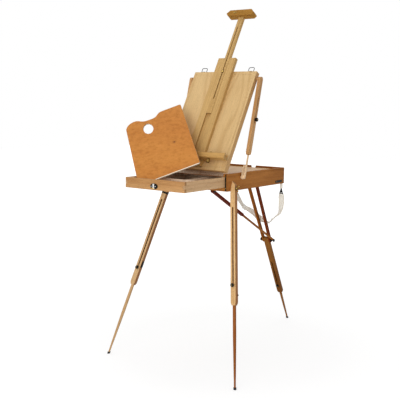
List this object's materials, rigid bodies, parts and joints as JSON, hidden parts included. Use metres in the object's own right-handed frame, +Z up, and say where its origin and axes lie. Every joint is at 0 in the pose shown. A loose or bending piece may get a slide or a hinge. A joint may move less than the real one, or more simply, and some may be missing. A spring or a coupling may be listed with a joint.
{
  "type": "sketch box easel",
  "caption": "Wooden sketch-box easel on three folding telescopic legs, with a metal-lined drawer, hinged lid, sliding mast, canvas ledge, palette and carrying strap.",
  "frame": {"origin": "centre of the footprint of the whole standing easel, on the floor", "axes": "+X to the painter's right, +Y away from the painter, +Z up"},
  "size_m": [0.7162, 1.1514, 1.5904],
  "materials": {
    "frame_wood": "satin varnished beech",
    "panel_wood": "satin varnished beech plywood",
    "leg_wood": "satin varnished beech",
    "leg_rod_wood": "satin varnished beech with a black foot",
    "dark_wood": "satin varnished beech in a darker tone",
    "palette_ply": "varnished plywood",
    "zinc_tray": "folded zinc sheet",
    "brass_pull": "brass knob on a black plate",
    "wing_screw": "brass plated",
    "black_metal": "black lacquer",
    "bright_steel": "nickel plated steel",
    "webbing": "woven cotton"
  },
  "bodies": {
    "box": {"box_wall_left": "frame_wood", "box_wall_right": "frame_wood", "box_wall_rear": "frame_wood", "box_rail_low": "frame_wood", "box_rail_high": "frame_wood", "box_bottom": "panel_wood", "box_shelf": "panel_wood", "lid_hinge_box_leaf": "bright_steel", "rear_leg_bracket": "black_metal", "stay_bracket": "black_metal", "strap_ring_left": "black_metal", "strap_ring_right": "black_metal", "carry_strap": "webbing"},
    "drawer": {"drawer_front": "frame_wood", "drawer_back": "frame_wood", "drawer_side_left": "frame_wood", "drawer_side_right": "frame_wood", "drawer_bottom": "panel_wood", "drawer_liner": "zinc_tray", "drawer_pull": "brass_pull"},
    "palette": {"palette": "palette_ply"},
    "lid": {"lid_rim_left": "frame_wood", "lid_rim_right": "frame_wood", "lid_rail_low": "frame_wood", "lid_rail_top": "frame_wood", "lid_panel": "panel_wood", "latch_plate_left": "bright_steel", "latch_plate_right": "bright_steel", "mast_guide": "frame_wood", "lid_hinge_lid_leaf": "bright_steel"},
    "latch_loop_left": {"latch_loop_left": "bright_steel"},
    "latch_loop_right": {"latch_loop_right": "bright_steel"},
    "mast": {"mast": "frame_wood", "mast_head": "frame_wood"},
    "mast_clamp": {"mast_clamp_screw": "black_metal"},
    "ledge": {"ledge": "frame_wood"},
    "ledge_screw_left": {"ledge_screw_left": "black_metal"},
    "ledge_screw_right": {"ledge_screw_right": "black_metal"},
    "brace_left_bar": {"brace_left_bar": "frame_wood"},
    "brace_left_strut": {"brace_left_strut": "frame_wood"},
    "brace_left_knob": {"brace_left_knob": "black_metal"},
    "brace_right_bar": {"brace_right_bar": "frame_wood"},
    "brace_right_strut": {"brace_right_strut": "frame_wood"},
    "brace_right_knob": {"brace_right_knob": "black_metal"},
    "front_leg_left": {"front_leg_left": "leg_wood"},
    "front_leg_left_rod": {"front_leg_left_rod": "leg_rod_wood"},
    "front_leg_left_knob": {"front_leg_left_knob": "black_metal"},
    "front_leg_left_screw": {"front_leg_left_screw": "wing_screw"},
    "front_leg_right": {"front_leg_right": "leg_wood"},
    "front_leg_right_rod": {"front_leg_right_rod": "leg_rod_wood"},
    "front_leg_right_knob": {"front_leg_right_knob": "black_metal"},
    "front_leg_right_screw": {"front_leg_right_screw": "wing_screw"},
    "rear_leg": {"rear_leg_rail_left": "dark_wood", "rear_leg_rail_right": "dark_wood", "rear_leg_core": "dark_wood"},
    "rear_leg_clamp": {"rear_leg_clamp": "black_metal"},
    "rear_leg_rod": {"rear_leg_rod": "leg_rod_wood"},
    "rear_leg_knob": {"rear_leg_knob": "black_metal"},
    "stay_sleeve": {"stay_sleeve": "dark_wood"},
    "stay_bar": {"stay_bar": "dark_wood"}
  },
  "joints": [
    {"name": "drawer_slide", "type": "slide", "parent": "box", "child": "drawer", "axis": [0, 1, 0], "range_m": [0, 0.282]},
    {"name": "palette_lift", "type": "slide", "parent": "drawer", "child": "palette", "axis": [0, 0, 1], "range_m": [-0.0096, 0.4896]},
    {"name": "lid_hinge", "type": "hinge", "parent": "box", "child": "lid", "pos_m": [0, -0.28088, 0.8583], "axis": [-1, 0, 0], "range_deg": [0, 61]},
    {"name": "latch_left", "type": "hinge", "parent": "lid", "child": "latch_loop_left", "pos_m": [-0.13, -0.05004, 1.2995], "axis": [-1, 0, 0], "range_deg": [0, 100]},
    {"name": "latch_right", "type": "hinge", "parent": "lid", "child": "latch_loop_right", "pos_m": [0.13, -0.05004, 1.2995], "axis": [-1, 0, 0], "range_deg": [0, 100]},
    {"name": "mast_slide", "type": "slide", "parent": "lid", "child": "mast", "axis": [0, -0.4848, -0.8746], "range_m": [-0.14, 0.215]},
    {"name": "mast_clamp_turn", "type": "hinge", "parent": "lid", "child": "mast_clamp", "pos_m": [0, -0.04662, 1.28092], "axis": [0, -0.8746, 0.4848], "continuous": true},
    {"name": "ledge_slide", "type": "slide", "parent": "lid", "child": "ledge", "axis": [0, 0.4848, 0.8746], "range_m": [0, 0.34]},
    {"name": "ledge_screw_left_turn", "type": "hinge", "parent": "ledge", "child": "ledge_screw_left", "pos_m": [-0.098, -0.3147, 0.92415], "axis": [0, 0.4848, 0.8746], "continuous": true},
    {"name": "ledge_screw_right_turn", "type": "hinge", "parent": "ledge", "child": "ledge_screw_right", "pos_m": [0.098, -0.3147, 0.92415], "axis": [0, 0.4848, 0.8746], "continuous": true},
    {"name": "brace_left_swing", "type": "hinge", "parent": "lid", "child": "brace_left_bar", "pos_m": [-0.171, -0.06205, 1.26546], "axis": [1, 0, 0], "range_deg": [-10.56, 0.21]},
    {"name": "brace_left_slide", "type": "slide", "parent": "brace_left_bar", "child": "brace_left_strut", "axis": [0, 0.2484, 0.9686], "range_m": [-0.00175, 0.08906]},
    {"name": "brace_left_knob_turn", "type": "hinge", "parent": "brace_left_strut", "child": "brace_left_knob", "pos_m": [-0.171, -0.10726, 1.08916], "axis": [1, 0, 0], "continuous": true},
    {"name": "brace_right_swing", "type": "hinge", "parent": "lid", "child": "brace_right_bar", "pos_m": [0.171, -0.06205, 1.26546], "axis": [1, 0, 0], "range_deg": [-10.56, 0.21]},
    {"name": "brace_right_slide", "type": "slide", "parent": "brace_right_bar", "child": "brace_right_strut", "axis": [0, 0.2484, 0.9686], "range_m": [-0.00175, 0.08906]},
    {"name": "brace_right_knob_turn", "type": "hinge", "parent": "brace_right_strut", "child": "brace_right_knob", "pos_m": [0.171, -0.10726, 1.08916], "axis": [1, 0, 0], "continuous": true},
    {"name": "front_leg_left_fold", "type": "hinge", "parent": "box", "child": "front_leg_left", "pos_m": [-0.18, -0.24118, 0.795], "axis": [1, 0, 0], "range_deg": [0, 105]},
    {"name": "front_leg_left_extend", "type": "slide", "parent": "front_leg_left", "child": "front_leg_left_rod", "axis": [0.2063, 0.2626, 0.9426], "range_m": [0, 0.33]},
    {"name": "front_leg_left_knob_turn", "type": "hinge", "parent": "front_leg_left_rod", "child": "front_leg_left_knob", "pos_m": [-0.26623, -0.35096, 0.401], "axis": [-0.0562, 0.9649, -0.2565], "continuous": true},
    {"name": "front_leg_left_screw_turn", "type": "hinge", "parent": "box", "child": "front_leg_left_screw", "pos_m": [-0.18, -0.24118, 0.795], "axis": [1, 0, 0], "continuous": true},
    {"name": "front_leg_right_fold", "type": "hinge", "parent": "box", "child": "front_leg_right", "pos_m": [0.18, -0.24118, 0.795], "axis": [1, 0, 0], "range_deg": [0, 105]},
    {"name": "front_leg_right_extend", "type": "slide", "parent": "front_leg_right", "child": "front_leg_right_rod", "axis": [-0.2063, 0.2626, 0.9426], "range_m": [0, 0.33]},
    {"name": "front_leg_right_knob_turn", "type": "hinge", "parent": "front_leg_right_rod", "child": "front_leg_right_knob", "pos_m": [0.26623, -0.35096, 0.401], "axis": [0.0562, 0.9649, -0.2565], "continuous": true},
    {"name": "front_leg_right_screw_turn", "type": "hinge", "parent": "box", "child": "front_leg_right_screw", "pos_m": [0.18, -0.24118, 0.795], "axis": [1, 0, 0], "continuous": true},
    {"name": "rear_leg_fold", "type": "hinge", "parent": "box", "child": "rear_leg", "pos_m": [0, 0.18532, 0.7702], "axis": [-1, 0, 0], "range_deg": [0, 116]},
    {"name": "rear_leg_clamp_turn", "type": "hinge", "parent": "rear_leg", "child": "rear_leg_clamp", "pos_m": [0, 0.33698, 0.46758], "axis": [1, 0, 0], "continuous": true},
    {"name": "rear_leg_extend", "type": "slide", "parent": "rear_leg", "child": "rear_leg_rod", "axis": [0, -0.448, 0.894], "range_m": [0, 0.15]},
    {"name": "rear_leg_knob_turn", "type": "hinge", "parent": "rear_leg_rod", "child": "rear_leg_knob", "pos_m": [0, 0.46759, 0.20697], "axis": [0, 0.894, 0.448], "continuous": true},
    {"name": "stay_swing", "type": "hinge", "parent": "box", "child": "stay_sleeve", "pos_m": [0.056, -0.22068, 0.7702], "axis": [1, 0, 0], "range_deg": [0, 28.13], "deforming": ["carry_strap"]},
    {"name": "stay_extend", "type": "slide", "parent": "stay_sleeve", "child": "stay_bar", "axis": [0.0331, -0.8814, 0.4712], "range_m": [0, 0.24]}
  ],
  "couplings": [
    {"joint": "palette_lift", "follows": "drawer_slide", "ratio": 1.7021},
    {"joint": "brace_left_swing", "follows": "lid_hinge", "ratio": -0.16974},
    {"joint": "brace_left_slide", "follows": "lid_hinge", "m_per_rad": 0.082012},
    {"joint": "brace_right_swing", "follows": "lid_hinge", "ratio": -0.16974},
    {"joint": "brace_right_slide", "follows": "lid_hinge", "m_per_rad": 0.082012}
  ]
}
